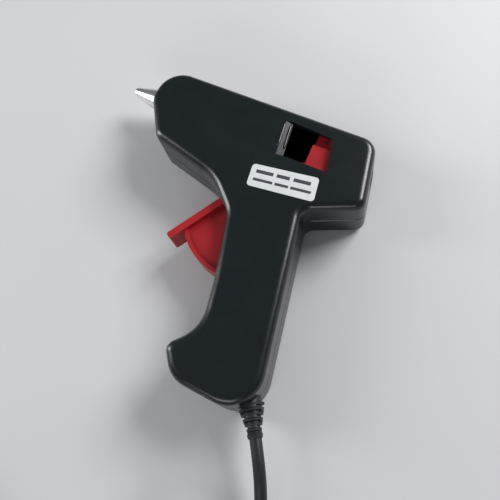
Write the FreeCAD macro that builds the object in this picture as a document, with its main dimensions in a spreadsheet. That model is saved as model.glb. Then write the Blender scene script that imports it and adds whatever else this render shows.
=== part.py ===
import FreeCAD, Part
import math
import os
import Sketcher
from FreeCAD import Placement, Rotation, Vector

# A small mains glue gun for 7 mm sticks. It lies on its right side: +X runs back along the stick
# axis from the nozzle to the stick inlet, +Y runs from the grip up to the barrel's top edge, and
# +Z points up, out of the left side. Sizes are in millimetres. Every piece is drawn in gun
# coordinates, with x = 0 at the nozzle's tip and y = 0 on the stick axis, and its Placement then
# moves the origin to the middle of the gun's underside.

os.makedirs("parts", exist_ok=True)
doc = FreeCAD.newDocument("glue_gun")

# ---------------------------------------------------------------- driving sizes

SIZES = {
    # whole gun
    "thick": 27.0,
    "split": 13.5,
    "wall": 2.2,
    "face_round": 3.5,
    "seam_chamfer": 0.3,
    "origin_x": 67.71,
    "origin_y": -55.45,
    # outline of both shells: corner places and their rounding, clockwise from the nose
    "barrel_top": 12.4,
    "nose_front": 17.3,
    "nose_top_round": 12.5,
    "nose_low_x": 16.6,
    "nose_low_y": -5.3,
    "nose_low_round": 9.6,
    "chin_x": 30.0,
    "chin_y": -24.0,
    "chin_round": 7.7,
    "belly_x": 66.0,
    "belly_y": -32.0,
    "belly_round": 29.0,
    "throat_x": 80.0,
    "throat_y": -44.5,
    "throat_round": 13.0,
    "finger_x": 89.5,
    "finger_share": 0.624,
    "finger_round": 58.0,
    "curl_x": 94.8,
    "curl_rise": 23.0,
    "curl_round": 17.0,
    "toe_x": 84.5,
    "toe_rise": 11.0,
    "toe_round": 4.6,
    "sole_x": 93.5,
    "sole_round": 13.5,
    "grip_drop": 117.0,
    "heel_x": 131.6,
    "heel_round": 14.4,
    "notch_x": 109.4,
    "notch_y": -30.4,
    "notch_round": 4.3,
    "rear_low_x": 133.0,
    "rear_low_y": -19.2,
    "rear_low_round": 4.6,
    "rear_top_x": 124.9,
    "rear_top_round": 7.7,
    # glue stick and hot end
    "stick_r": 3.6,
    "nozzle_tip_r": 2.3,
    "nozzle_base_r": 6.4,
    "nozzle_len": 19.4,
    "nozzle_bore_r": 0.8,
    "nozzle_neck_r": 3.0,
    "nozzle_neck_len": 6.4,
    "nozzle_gap": 0.4,
    "chamber_r": 6.5,
    "chamber_len": 36.0,
    "chamber_bore_r": 3.8,
    "flange_r": 8.0,
    "flange_thick": 2.0,
    "spigot_r": 5.0,
    "spigot_len": 5.5,
    "sleeve_r": 6.2,
    "sleeve_len": 13.0,
    "heater_start": 13.0,
    "heater_len": 18.0,
    "heater_wide": 11.0,
    "heater_drop": 15.5,
    "heater_wall": 1.3,
    "pill_thick": 2.2,
    "electrode_thick": 0.3,
    "film_thick": 0.15,
    # trigger
    "pivot_x": 87.2,
    "pivot_y": -39.7,
    "pivot_pin_r": 1.5,
    "running_gap": 0.05,
    "hub_r": 5.6,
    "trigger_wide": 12.0,
    "sector_wide": 9.4,
    "sector_r": 29.7,
    "rim_wide": 1.8,
    "recess_deep": 1.2,
    "slot_gap": 0.5,
    "arm_wide": 7.0,
    "arm_thick": 5.8,
    "arm_lean": 12.0,
    "drive_rise": 26.2,
    "drive_pin_r": 1.5,
    "drive_gap": 0.15,
    # feed carriage
    "carriage_x": 99.5,
    "carriage_len": 11.0,
    "carriage_top": 7.6,
    "carriage_low": -6.5,
    "carriage_wide": 16.0,
    "cheek_gap": 1.2,
    "pin_back": -6.7,
    "pin_level": -13.5,
    "ear_out": 6.5,
    "guide_gap": 0.4,
    "gripper_x": 103.0,
    "gripper_thick": 1.8,
    "gripper_wide": 11.0,
    "gripper_pin_y": 5.6,
    "gripper_pin_r": 0.9,
    # ribs, rails and room inside the shells
    "nose_rib_x": 21.7,
    "mid_rib_x": 52.8,
    "sleeve_rib_x": 66.0,
    "rib_thick": 2.0,
    "spring_stop_x": 109.4,
    "spring_level": -17.1,
    "spring_nose": 7.1,
    "spring_coil_r": 2.6,
    "spring_wire_r": 0.4,
    "rail_x": 84.0,
    "rail_end": 112.0,
    "rail_thick": 1.4,
    "rail_reach": 8.0,
    "lower_rail_gap": 4.5,
    # window in the left shell
    "window_x": 87.2,
    "window_len": 21.2,
    "window_top": 6.4,
    "window_low": -10.8,
    "window_lean": 3.2,
    "window_ramp": 3.2,
    "window_ramp_deep": 1.2,
    # stick inlet
    "inlet_r": 4.6,
    "inlet_start": 113.6,
    "inlet_half": 6.4,
    # fixings
    "screw_r": 1.35,
    "screw_head_r": 2.3,
    "screw_head_thick": 2.0,
    "screw_seat": 5.5,
    "screw_len": 14.5,
    "boss_r": 3.4,
    "clamp_screw_r": 1.0,
    "clamp_head_r": 1.7,
    "clamp_head_thick": 1.3,
    "clamp_screw_len": 6.5,
    "clamp_spot": -11.5,
    "clamp_half": 4.5,
    "clamp_thick": 2.2,
    # cord and strain relief
    "cord_r": 2.5,
    "core_r": 0.9,
    "cord_tail": 16.0,
    "crimp_level": 5.5,
    "crimp_rise": 35.0,
    "exit_x": 124.6,
    "exit_rise": 6.9,
    "exit_turn": -54.0,
    "relief_out": 14.0,
    "relief_in": 8.0,
    "relief_root_r": 4.6,
    "relief_tip_r": 3.2,
    "plug_len": 36.0,
    "plug_wide": 25.0,
    "plug_thick": 13.8,
    "plug_round": 2.4,
    "plug_pin_r": 2.0,
    "plug_pin_len": 19.0,
    "pin_pitch": 18.6,
}

sheet = doc.addObject("Spreadsheet::Sheet", "Sizes")
for row, (alias, number) in enumerate(SIZES.items(), start=1):
    sheet.set(f"A{row}", alias)
    sheet.set(f"B{row}", str(number))
    sheet.setAlias(f"B{row}", alias)
doc.recompute()


# ---------------------------------------------------------------- helpers


def size(expression):
    """The number that an expression of sheet cells gives."""
    return float(sheet.evalExpression(cells(expression)))


def cells(expression):
    """The expression with Sizes. before each alias."""
    text = str(expression)
    words = []
    word = ""
    for letter in text + " ":
        if letter.isalnum() or letter == "_":
            word += letter
            continue
        words.append("Sizes." + word if word in SIZES else word)
        words.append(letter)
        word = ""
    return "".join(words).strip()


def place(piece, x="0", y="0", z="0", turn=None):
    """Puts a piece at x, y, z in gun coordinates, in the row frame."""
    if turn is not None:
        piece.Placement = Placement(Vector(0, 0, 0), turn)
    piece.setExpression("Placement.Base.x", cells(f"{x} - origin_x"))
    piece.setExpression("Placement.Base.y", cells(f"{y} - origin_y"))
    piece.setExpression("Placement.Base.z", cells(z))


def new_body(name, x="0", y="0", z="0", turn=None):
    body = doc.addObject("PartDesign::Body", name)
    body.Label = name
    place(body, x, y, z, turn)
    return body


def new_sketch(body, role="XY_Plane", lift="0", turn=0.0):
    """A sketch on one of the body's origin planes, raised by lift along the plane's normal."""
    sketch = body.newObject("Sketcher::SketchObject", "outline")
    plane = [p for p in body.Origin.OriginFeatures if p.Role == role][0]
    sketch.AttachmentSupport = [(plane, "")]
    sketch.MapMode = "FlatFace"
    if turn:
        sketch.AttachmentOffset = Placement(Vector(0, 0, 0), Rotation(Vector(0, 0, 1), turn))
    sketch.setExpression("AttachmentOffset.Base.z", cells(lift))
    return sketch


def tied(kind, expression, *where):
    """A sketch constraint and the expression of cells that it follows."""
    return Sketcher.Constraint(kind, *where, size(expression)), expression


def tied_point(index, position, x, y):
    """Two constraints that hold a point at two expressions from the sketch's origin."""
    return [tied("DistanceX", x, -1, 1, index, position), tied("DistanceY", y, -1, 1, index, position)]


def constrain(sketch, plain, bound):
    """Adds the constraints in one go, then binds the tied ones to the sheet."""
    first = sketch.ConstraintCount + len(plain)
    sketch.addConstraint(plain + [constraint for constraint, _ in bound])
    for number, (_, expression) in enumerate(bound, start=first):
        sketch.setExpression(f"Constraints[{number}]", cells(expression))


def rounded_corner(before, corner, after, radius):
    """The two tangent points and the centre of a corner's arc."""
    back = (before - corner).normalize()
    ahead = (after - corner).normalize()
    half = back.getAngle(ahead) / 2
    reach = radius / math.tan(half)
    middle = (back + ahead).normalize()
    return corner + back * reach, corner + ahead * reach, corner + middle * (radius / math.sin(half))


def draw_corners(sketch, corners):
    """A closed outline. Each corner is (x, y) or (x, y, radius), as expressions of cells."""
    points = [Vector(size(c[0]), size(c[1]), 0) for c in corners]
    count = len(points)
    starts = list(points)
    ends = list(points)
    centres = [None] * count
    for i, corner in enumerate(corners):
        if len(corner) == 3:
            ahead = points[(i + 1) % count]
            ends[i], starts[i], centres[i] = rounded_corner(
                points[i - 1], points[i], ahead, size(corner[2])
            )
    lines = [Part.LineSegment(starts[i], ends[(i + 1) % count]) for i in range(count)]
    numbers = sketch.addGeometry(lines, False)
    plain = []
    bound = []
    for i, corner in enumerate(corners):
        before, after = numbers[i - 1], numbers[i]
        if centres[i] is None:
            plain.append(Sketcher.Constraint("Coincident", before, 2, after, 1))
            bound += tied_point(after, 1, corner[0], corner[1])
            continue
        middle = centres[i] + (points[i] - centres[i]).normalize() * size(corner[2])
        arc = sketch.addGeometry(Part.Arc(ends[i], middle, starts[i]), False)
        tip = sketch.addGeometry(Part.Point(points[i]), True)
        incoming = points[i] - points[i - 1]
        outgoing = points[(i + 1) % count] - points[i]
        first, last = (1, 2) if incoming.cross(outgoing).z > 0 else (2, 1)
        plain.append(Sketcher.Constraint("Tangent", before, 2, arc, first))
        plain.append(Sketcher.Constraint("Tangent", arc, last, after, 1))
        plain.append(Sketcher.Constraint("PointOnObject", tip, 1, before))
        plain.append(Sketcher.Constraint("PointOnObject", tip, 1, after))
        bound += tied_point(tip, 1, corner[0], corner[1])
        bound.append(tied("Radius", corner[2], arc))
    constrain(sketch, plain, bound)


def draw_circle(sketch, x, y, radius):
    centre = Vector(size(x), size(y), 0)
    circle = sketch.addGeometry(Part.Circle(centre, Vector(0, 0, 1), size(radius)), False)
    constrain(sketch, [], tied_point(circle, 3, x, y) + [tied("Radius", radius, circle)])


def draw(body, shapes, role="XY_Plane", lift="0"):
    """A sketch of closed shapes, each a list of corners or a circle as (x, y, radius)."""
    sketch = new_sketch(body, role, lift)
    for shape in shapes:
        if isinstance(shape, tuple):
            draw_circle(sketch, *shape)
        else:
            draw_corners(sketch, shape)
    return sketch


def pad(body, shapes, low, high, role="XY_Plane"):
    """Adds the shapes between two heights along the plane's normal."""
    feature = body.newObject("PartDesign::Pad", "pad")
    feature.Profile = draw(body, shapes, role, low)
    feature.Refine = False
    feature.setExpression("Length", cells(f"({high}) - ({low})"))
    doc.recompute()
    return feature


def cut(body, shapes, low, high, role="XY_Plane"):
    """Removes the shapes between two heights along the plane's normal."""
    before = body.Shape.Volume
    feature = body.newObject("PartDesign::Pocket", "cut")
    feature.Profile = draw(body, shapes, role, low)
    feature.Reversed = True
    feature.Refine = False
    feature.setExpression("Length", cells(f"({high}) - ({low})"))
    doc.recompute()
    if body.Shape.Volume >= before - 1e-6:
        raise RuntimeError(f"{body.Label}: a cut removed nothing")
    return feature


def turned(body, profile, name="turned", cutting=False):
    """Turns a profile of (x, radius) corners about the body's X axis."""
    sketch = draw(body, [profile])
    kind = "PartDesign::Groove" if cutting else "PartDesign::Revolution"
    feature = body.newObject(kind, name)
    feature.Profile = sketch
    feature.ReferenceAxis = (sketch, ["H_Axis"])
    feature.Angle = 360.0
    doc.recompute()
    return feature


def edges_where(feature, test):
    """Names of the feature's edges whose every end passes the test."""
    names = []
    for number, edge in enumerate(feature.Shape.Edges, start=1):
        if all(test(v.Point) for v in edge.Vertexes):
            names.append(f"Edge{number}")
    return names


def round_edges(body, feature, names, radius, kind="Fillet"):
    dress = body.newObject(f"PartDesign::{kind}", kind.lower())
    dress.Base = (feature, names)
    dress.setExpression("Radius" if kind == "Fillet" else "Size", cells(radius))
    doc.recompute()
    return dress


def cylinder(name, x, y, low, high, radius):
    """A plain pin along Z."""
    pin = doc.addObject("Part::Cylinder", name)
    pin.Label = name
    pin.setExpression("Radius", cells(radius))
    pin.setExpression("Height", cells(f"({high}) - ({low})"))
    place(pin, x, y, low)
    return pin


def block(name, x, y, z, long, wide, high):
    box = doc.addObject("Part::Box", name)
    box.Label = name
    box.setExpression("Length", cells(long))
    box.setExpression("Width", cells(wide))
    box.setExpression("Height", cells(high))
    place(box, x, y, z)
    return box


ORIGIN = Vector(size("origin_x"), size("origin_y"), 0)


def made(name, shape):
    """A piece whose shape is worked out here, in gun coordinates, from the sheet's values."""
    piece = doc.addObject("Part::Feature", name)
    piece.Label = name
    piece.Shape = shape
    piece.Placement = Placement(-ORIGIN, Rotation()).multiply(shape.Placement)
    return piece


def bent_path(points, smallest):
    """Straight runs joined by tangent arcs, each as large as its two runs allow."""
    edges = []
    start = points[0]
    for before, corner, after in zip(points, points[1:], points[2:]):
        back = before - corner
        ahead = after - corner
        turn = math.pi - back.getAngle(ahead)
        reach = 0.45 * min(back.Length, ahead.Length)
        radius = reach / math.tan(turn / 2)
        if radius < smallest:
            raise RuntimeError(f"bend of {radius:.1f} mm at {corner}")
        first = corner + back.normalize() * reach
        last = corner + ahead.normalize() * reach
        towards = (back + ahead).normalize()
        middle = corner + towards * (radius / math.cos(turn / 2) - radius)
        edges.append(Part.LineSegment(start, first).toShape())
        edges.append(Part.Arc(first, middle, last).toShape())
        start = last
    edges.append(Part.LineSegment(start, points[-1]).toShape())
    return Part.Wire(edges)


def tube(points, radius, smallest):
    """A round cord along the path, checked against its section times its length."""
    path = bent_path(points, smallest)
    ring = Part.Wire([Part.Circle(points[0], points[1] - points[0], radius).toShape()])
    solid = Part.Solid(path.makePipeShell([ring], True, True).Shells[0])
    if solid.Volume < 0:
        solid.reverse()
    wanted = math.pi * radius ** 2 * path.Length
    if abs(solid.Volume - wanted) > 0.01 * wanted:
        raise RuntimeError("the tube's volume is not its section times its length")
    return solid


# ---------------------------------------------------------------- shells

OUTLINE = [
    ("nose_front", "barrel_top", "nose_top_round"),
    ("nose_low_x", "nose_low_y", "nose_low_round"),
    ("chin_x", "chin_y", "chin_round"),
    ("belly_x", "belly_y", "belly_round"),
    ("throat_x", "throat_y", "throat_round"),
    ("finger_x", "-finger_share * grip_drop", "finger_round"),
    ("curl_x", "curl_rise - grip_drop", "curl_round"),
    ("toe_x", "toe_rise - grip_drop", "toe_round"),
    ("sole_x", "-grip_drop", "sole_round"),
    ("heel_x", "-grip_drop", "heel_round"),
    ("notch_x", "notch_y", "notch_round"),
    ("rear_low_x", "rear_low_y", "rear_low_round"),
    ("rear_top_x", "barrel_top", "rear_top_round"),
]

SCREWS = [("29", "-14.6"), ("78", "7.4"), ("119.5", "7"), ("103.5", "-26.5"), ("99.5", "31 - grip_drop")]


def rectangle(x_low, x_high, y_low, y_high):
    return [(x_low, y_low), (x_high, y_low), (x_high, y_high), (x_low, y_high)]


def shell(name, side):
    """One half of the case. side is 1 for the left half, above the split, and -1 for the right."""
    left = side > 0
    body = new_body(name)
    skin = "thick" if left else "0"
    base = pad(body, [OUTLINE], *(("split", "thick") if left else ("0", "split")))
    face = size(skin)
    outer = edges_where(base, lambda p: abs(p.z - face) < 1e-6)
    rounded = round_edges(body, base, outer, "face_round")
    seam = edges_where(rounded, lambda p: abs(p.z - size("split")) < 1e-6)
    round_edges(body, rounded, seam, "seam_chamfer", "Chamfer")
    hollow(body, left)
    fittings(body, left)
    openings(body, left)
    return body


def inset(corners, distance):
    """The outline moved inwards by a distance, as numbers. The outline runs anticlockwise."""
    points = [Vector(size(c[0]), size(c[1]), 0) for c in corners]
    gap = size(distance)
    result = []
    for i, corner in enumerate(corners):
        ahead = points[(i + 1) % len(points)]
        along = (points[i] - points[i - 1]).normalize()
        onward = (ahead - points[i]).normalize()
        left_of_along = Vector(-along.y, along.x, 0)
        left_of_onward = Vector(-onward.y, onward.x, 0)
        bisector = (left_of_along + left_of_onward).normalize()
        moved = points[i] + bisector * (gap / bisector.dot(left_of_along))
        outward = along.cross(onward).z > 0
        radius = size(corner[2]) - gap if outward else size(corner[2]) + gap
        result.append((str(moved.x), str(moved.y), str(radius)))
    return result


def hollow(body, left):
    """Hollows the half from its split face, leaving the wall."""
    low, high = ("split", "thick - wall") if left else ("wall", "split")
    return cut(body, [inset(OUTLINE, "wall")], low, high)


def inside(left, reach):
    """Low and high of something that stands on the shell's inner face and ends at a height.

    reach is measured from the split, back into the half."""
    if left:
        return f"split + ({reach})", "thick - wall / 2"
    return "wall / 2", f"split - ({reach})"


def fittings(body, left):
    """Ribs, rails and bosses inside the half."""
    top = "barrel_top - wall / 2"
    inlet = [
        ("inlet_start", "-inlet_half"),
        ("rear_low_x - 4.7", "-inlet_half"),
        ("rear_low_x - 7.9", "inlet_half"),
        ("inlet_start", "inlet_half"),
    ]
    full = [
        rectangle("nose_rib_x", "nose_rib_x + rib_thick", "-9.5", "barrel_top - 4.4"),
        rectangle("mid_rib_x", "mid_rib_x + rib_thick", "-5", top),
        rectangle("sleeve_rib_x", "sleeve_rib_x + rib_thick", "-9", top),
        inlet,
        rectangle(
            "spring_stop_x", "spring_stop_x + rib_thick",
            "pivot_y + spring_level - 4.7", "pivot_y + spring_level + 4.3",
        ),
    ]
    pad(body, full, *inside(left, "0"))
    pad(body, [(x, y, "boss_r - 1" if left else "boss_r") for x, y in SCREWS], *inside(left, "0"))
    above = "carriage_top + guide_gap"
    below = "carriage_low - lower_rail_gap"
    rails = [
        rectangle("rail_x", "rail_end", above, f"{above} + rail_thick"),
        rectangle("rail_x + 2", "rail_end", f"{below} - rail_thick", below),
    ]
    pad(body, rails, *inside(left, "rail_reach"))
    pad(body, [("pivot_x", "pivot_y", "pivot_pin_r + 2.1")], *inside(left, "trigger_wide / 2 + slot_gap"))
    if not left:
        clamp_posts(body)


def clamp_posts(body):
    """A bed under the cord and two posts that carry the cord clamp."""
    bed = [along_cord("-14", "-3"), along_cord("-9", "-3"), along_cord("-9", "3"), along_cord("-14", "3")]
    pad(body, [bed], "wall / 2", "split - cord_r")
    posts = [along_cord("clamp_spot", across) for across in ("-clamp_half", "clamp_half")]
    pad(body, [(x, y, "clamp_screw_r + 0.9") for x, y in posts], "wall / 2", "split + cord_r")
    cut(body, [(x, y, "clamp_screw_r") for x, y in posts], "split - 5", "split + cord_r")


def along_cord(along, across):
    """A point by its distance along the cord's way out from the exit, and across it, as text."""
    turn = "exit_turn * 1 deg"
    x = f"exit_x + ({along}) * cos({turn}) - ({across}) * sin({turn})"
    y = f"exit_rise - grip_drop + ({along}) * sin({turn}) + ({across}) * cos({turn})"
    return x, y


def openings(body, left):
    """Holes and slots through the half."""
    bores = [
        ("nozzle_base_r + 0.4", "10", "nozzle_len + 0.2"),
        ("chamber_r + 0.1", "nozzle_len + 0.2", "56"),
        ("sleeve_r + 0.1", "65", "69"),
        ("inlet_r", "112", "rear_low_x + 5"),
    ]
    for radius, low, high in bores:
        cut(body, [("0", "split", radius)], low, high, "YZ_Plane")
    slot = [[("70.5", "-30"), ("93", "-30"), ("95", "-71"), ("64", "-71")]]
    pivot = [("pivot_x", "pivot_y", "pivot_pin_r")]
    if left:
        cut(body, slot, "split - 1", "split + trigger_wide / 2 + slot_gap")
        cut(body, pivot, "split", "thick - wall")
        cut(body, [(x, y, "screw_r") for x, y in SCREWS], "split", "screw_seat + screw_len + 1")
        window(body)
    else:
        cut(body, slot, "split - trigger_wide / 2 - slot_gap", "split + 1")
        cut(body, pivot, "wall", "split")
        cut(body, [(x, y, "screw_head_r + 0.2") for x, y in SCREWS], "0", "screw_seat")
        cut(body, [(x, y, "screw_r + 0.25") for x, y in SCREWS], "screw_seat - 1", "split")
    relief_hole(body)


def relief_hole(body):
    """The round way out for the cord's strain relief, half in each shell."""
    sketch = new_sketch(body, "XZ_Plane", "grip_drop - exit_rise")
    straight = Rotation(Vector(0, 1, 0), 90 + size("exit_turn"))
    spot = Vector(size("exit_x"), size("split"), size("grip_drop - exit_rise"))
    sketch.AttachmentOffset = Placement(spot, straight)
    draw_circle(sketch, "0", "0", "relief_root_r + 0.1")
    feature = body.newObject("PartDesign::Pocket", "relief_hole")
    feature.Profile = sketch
    feature.SideType = "Symmetric"
    feature.Refine = False
    feature.setExpression("Length", cells("relief_in * 2 - 1"))
    before = body.Shape.Volume
    doc.recompute()
    if body.Shape.Volume >= before - 1e-6:
        raise RuntimeError("the strain relief's hole removed nothing")


def window(body):
    """The window over the feed carriage, with a ramp along its front edge."""
    corners = [
        ("window_x", "window_top"),
        ("window_x + window_lean", "window_low"),
        ("window_x + window_len + window_lean", "window_low", "0.8"),
        ("window_x + window_len - window_lean / 2", "window_top - 1.2", "0.8"),
    ]
    cut(body, [corners], "split + 6", "thick + 1")
    drop = size("window_top - window_low")
    lean = math.degrees(math.atan2(size("window_lean"), drop))
    front = Vector(size("window_x"), 0, -size("window_top"))
    sketch = new_sketch(body, "XZ_Plane", "-window_top")
    sketch.AttachmentOffset = Placement(front, Rotation(Vector(0, 1, 0), lean))
    draw_corners(sketch, [
        ("-window_ramp", "thick"),
        ("0.5", "thick - window_ramp_deep"),
        ("0.5", "thick + 1"),
        ("-window_ramp", "thick + 1"),
    ])
    slope = body.newObject("PartDesign::Pocket", "window_ramp")
    slope.Profile = sketch
    slope.Reversed = True
    slope.Refine = False
    slope.Length = math.hypot(size("window_lean"), drop)
    doc.recompute()


for name, side in (("left_shell", 1), ("right_shell", -1)):
    shell(name, side)

# ---------------------------------------------------------------- hot end

HOT_X = "nozzle_len + nozzle_gap"


def nozzle():
    body = new_body("nozzle", "0", "0", "split")
    turned(body, [
        ("0", "nozzle_bore_r"),
        ("0", "nozzle_tip_r"),
        ("nozzle_len - 2.4", "nozzle_base_r"),
        ("nozzle_len", "nozzle_base_r"),
        ("nozzle_len", "nozzle_neck_r"),
        ("nozzle_len + nozzle_neck_len", "nozzle_neck_r"),
        ("nozzle_len + nozzle_neck_len", "nozzle_neck_r - 1"),
        ("5", "nozzle_bore_r"),
    ])


def melt_chamber():
    """The cast barrel that the stick melts in, with a box under it for the heater."""
    body = new_body("melt_chamber", HOT_X, "0", "split")
    turned(body, [
        ("0", "0"),
        ("0", "chamber_r"),
        ("4", "chamber_r"),
        ("4", "flange_r"),
        ("4 + flange_thick", "flange_r"),
        ("4 + flange_thick", "chamber_r"),
        ("chamber_len - 3.2 - flange_thick", "chamber_r"),
        ("chamber_len - 3.2 - flange_thick", "flange_r"),
        ("chamber_len - 3.2", "flange_r"),
        ("chamber_len - 3.2", "chamber_r"),
        ("chamber_len", "chamber_r"),
        ("chamber_len", "spigot_r"),
        ("chamber_len + spigot_len", "spigot_r"),
        ("chamber_len + spigot_len", "0"),
    ])
    half = "heater_wide / 2"
    box = rectangle("heater_start", "heater_start + heater_len", "-heater_drop", "-chamber_r + 2")
    pad(body, [box], f"-({half})", half)
    cut(body, [("0", "0", "nozzle_neck_r")], "-1", "nozzle_neck_len", "YZ_Plane")
    melt = [
        ("nozzle_neck_len - 0.1", "0"),
        ("nozzle_neck_len - 0.1", "nozzle_neck_r - 1"),
        ("nozzle_neck_len + 7", "chamber_bore_r"),
        ("chamber_len + spigot_len + 1", "chamber_bore_r"),
        ("chamber_len + spigot_len + 1", "0"),
    ]
    turned(body, melt, "melt_bore", True)
    pocket = [
        ("-heater_drop + heater_wall", "heater_wall - heater_wide / 2"),
        ("-chamber_r - 1.6", "heater_wall - heater_wide / 2"),
        ("-chamber_r - 1.6", "heater_wide / 2 - heater_wall"),
        ("-heater_drop + heater_wall", "heater_wide / 2 - heater_wall"),
    ]
    cut(body, [pocket], "heater_start + heater_wall", "heater_start + heater_len + 1", "YZ_Plane")


def inlet_sleeve():
    """The silicone sleeve on the chamber's back end that seals round the stick."""
    body = new_body("inlet_sleeve", f"{HOT_X} + chamber_len + 0.3", "0", "split")
    turned(body, [
        ("0", "spigot_r"),
        ("0", "sleeve_r"),
        ("sleeve_len", "sleeve_r"),
        ("sleeve_len", "stick_r + 0.4"),
        ("sleeve_len - 1", "stick_r + 0.1"),
        ("spigot_len - 0.1", "stick_r + 0.1"),
        ("spigot_len - 0.1", "spigot_r"),
    ])


def heater():
    """The flat heater in its pocket: ceramic pill, two electrodes, a wrap and a spring clip."""
    x = f"{HOT_X} + heater_start + heater_wall + 0.4"
    long = "heater_len - heater_wall - 2"
    wide = "heater_wide - 2 * heater_wall - 0.4"
    z = f"split - ({wide}) / 2"
    roof = "-chamber_r - 1.7"
    stack = "pill_thick + 2 * electrode_thick + 2 * film_thick"
    wrap = block("heater_wrap_outside", x, f"{roof} - ({stack})", z, long, stack, wide)
    core = block(
        "heater_wrap_inside", f"{x} - 1", f"{roof} - ({stack}) + film_thick", f"{z} + film_thick",
        f"{long} + 2", f"{stack} - 2 * film_thick", f"{wide} - 2 * film_thick",
    )
    film = doc.addObject("Part::Cut", "insulation_film")
    film.Label = "insulation_film"
    film.Base = wrap
    film.Tool = core
    inner_z = f"{z} + film_thick + 0.1"
    inner_wide = f"{wide} - 2 * film_thick - 0.2"
    low = f"{roof} - film_thick - electrode_thick"
    block("electrode_upper", x, low, inner_z, f"{long} + 3", "electrode_thick", inner_wide)
    pill_y = f"{low} - pill_thick"
    block("heater_pill", f"{x} + 0.5", pill_y, inner_z, f"{long} - 1", "pill_thick", inner_wide)
    bottom = f"{low} - pill_thick - electrode_thick"
    block("electrode_lower", x, bottom, inner_z, f"{long} + 3", "electrode_thick", inner_wide)
    floor = "-heater_drop + heater_wall"
    body = new_body("heater_clip", x, floor, f"{z} + 1")
    gap = f"({roof} - ({stack})) - ({floor})"
    leaf = "0.35"
    bow = [
        ("0", "0.02"),
        (f"({long}) / 2", f"{gap} - 0.02 - {leaf}"),
        (f"{long}", "0.02"),
        (f"{long}", f"0.02 + {leaf}"),
        (f"({long}) / 2", f"{gap} - 0.02"),
        ("0", f"0.02 + {leaf}"),
    ]
    pad(body, [bow], "0", f"{wide} - 2")


nozzle()
melt_chamber()
inlet_sleeve()
heater()

# ---------------------------------------------------------------- trigger


def on_arm(along, across):
    """A point by its distance along the leaning arm from the pivot, and across it, as text."""
    lean = "arm_lean * 1 deg"
    x = f"({along}) * sin({lean}) + ({across}) * cos({lean})"
    y = f"({along}) * cos({lean}) - ({across}) * sin({lean})"
    return x, y


def trigger():
    """Finger plate, side web with a raised rim, hub and the arm that drives the carriage."""
    body = new_body("trigger", "pivot_x", "pivot_y", "split")
    half = "trigger_wide / 2"
    web = "sector_wide / 2"
    disc = ("0", "0", "sector_r")
    pad(body, [disc], f"recess_deep - {web}", f"{web} - recess_deep")
    pad(body, [disc, ("0", "0", "sector_r - rim_wide")], f"-{web}", web)
    around = rectangle("-60", "60", "-60", "60")
    kept = [
        ("-12.6", "3.4"),
        ("-29.6", "-27.4"),
        ("-26", "-45"),
        ("14.5", "-45"),
        ("3.4", "-4.4"),
        ("0", "5.2"),
    ]
    cut(body, [around, kept], f"-{web} - 1", f"{web} + 1")
    plate = [("-14.4", "4.7"), ("-29.7", "-23.1", "1"), ("-26.9", "-24.7", "1"), ("-11.5", "3.1")]
    pad(body, [plate], f"-{half}", half)
    pad(body, [("0", "0", "hub_r")], f"-{half}", half)
    side = "arm_wide / 2"
    reach = "drive_rise / cos(arm_lean * 1 deg)"
    tip = f"{reach} + drive_pin_r + 2.6"
    lever = [
        on_arm("0", f"-{side}"),
        on_arm("0", side),
        (*on_arm(tip, side), "3"),
        (*on_arm(tip, f"-{side}"), "3"),
    ]
    pad(body, [lever], "-arm_thick / 2", "arm_thick / 2")
    slot_low = "drive_rise - drive_pin_r - 0.2"
    slot_high = f"{reach} + drive_pin_r + 0.2"
    slot_side = "drive_pin_r + drive_gap"
    slot = [
        (*on_arm(slot_low, f"-({slot_side})"), "drive_pin_r - 0.1"),
        (*on_arm(slot_low, slot_side), "drive_pin_r - 0.1"),
        (*on_arm(slot_high, slot_side), "drive_pin_r - 0.1"),
        (*on_arm(slot_high, f"-({slot_side})"), "drive_pin_r - 0.1"),
    ]
    cut(body, [slot], "-arm_thick", "arm_thick")
    seat = rectangle("2.6", "spring_nose - 0.1", "spring_level - 3.3", "spring_level + 3.3")
    pad(body, [seat], "-3.3", "3.3")
    pad(body, [("spring_level", "0", "1.6")], "spring_nose - 0.6", "spring_nose + 2.9", "YZ_Plane")
    cut(body, [("0", "0", "pivot_pin_r + running_gap")], f"-{half} - 1", f"{half} + 1")


def return_spring():
    """The coil spring that pushes the trigger out again, between its seat and the shells' rib."""
    start = Vector(size("pivot_x + spring_nose"), size("pivot_y + spring_level"), size("split"))
    wire = size("spring_wire_r")
    coil_r = size("spring_coil_r")
    long = size("spring_stop_x") - start.x - 0.1 - 2 * wire
    turns = 7
    path = Part.makeHelix(long / turns, long, coil_r)
    ring = Part.Wire([Part.Circle(Vector(coil_r, 0, 0), Vector(0, 1, 0), wire).toShape()])
    spring = Part.Wire(path.Edges).makePipeShell([ring], True, True)
    spring.rotate(Vector(0, 0, 0), Vector(0, 1, 0), 90)
    spring.translate(start + Vector(wire, 0, 0))
    made("return_spring", spring)


trigger()
cylinder("trigger_pivot_pin", "pivot_x", "pivot_y", "wall", "thick - wall", "pivot_pin_r")
return_spring()

# ---------------------------------------------------------------- feed carriage


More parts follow.
